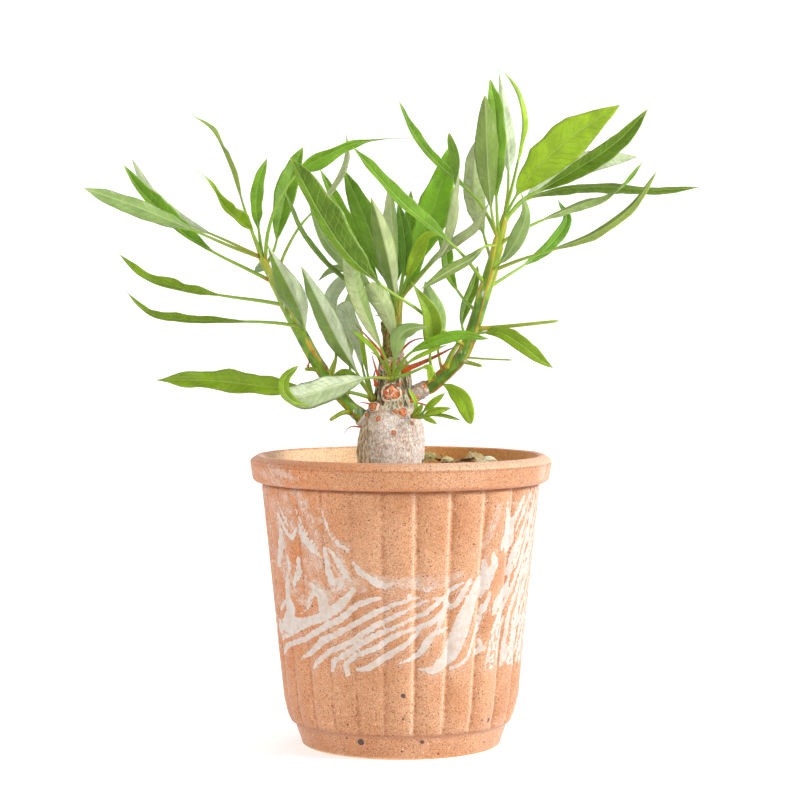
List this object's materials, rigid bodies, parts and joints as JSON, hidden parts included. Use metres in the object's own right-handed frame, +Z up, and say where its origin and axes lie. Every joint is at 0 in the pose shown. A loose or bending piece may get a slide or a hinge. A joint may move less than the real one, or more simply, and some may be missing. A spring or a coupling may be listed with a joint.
{
  "type": "potted caudiciform shrub",
  "caption": "Small caudex shrub: a swollen tan trunk and spreading green stems of long narrow leaves and spines, standing in a ribbed marbled clay pot of gritty soil.",
  "frame": {"origin": "centre of the pot's flat underside, on the surface the pot stands on", "axes": "+Z up along the pot's axis, the side seen in the picture faces -Y, +X to the viewer's right"},
  "size_m": [0.2026, 0.1, 0.2255],
  "materials": {
    "marbled_clay": "unglazed terracotta marbled with cream slip, satin",
    "gritty_soil": "dry brown potting mix with pale grit",
    "tan_bark": "dull tan bark with a fine net and orange bud scars",
    "leaf_green": "satin green leaves and stems, paler on the underside"
  },
  "bodies": {
    "root": {"pot": "marbled_clay", "soil": "gritty_soil", "caudex": "tan_bark", "leafy_stem_left": "leaf_green", "leafy_stem_middle": "leaf_green", "leafy_stem_right": "leaf_green", "leaf_tuft_front": "leaf_green", "leaf_tuft_side": "leaf_green", "leaf_sprout": "leaf_green"}
  },
  "joints": []
}
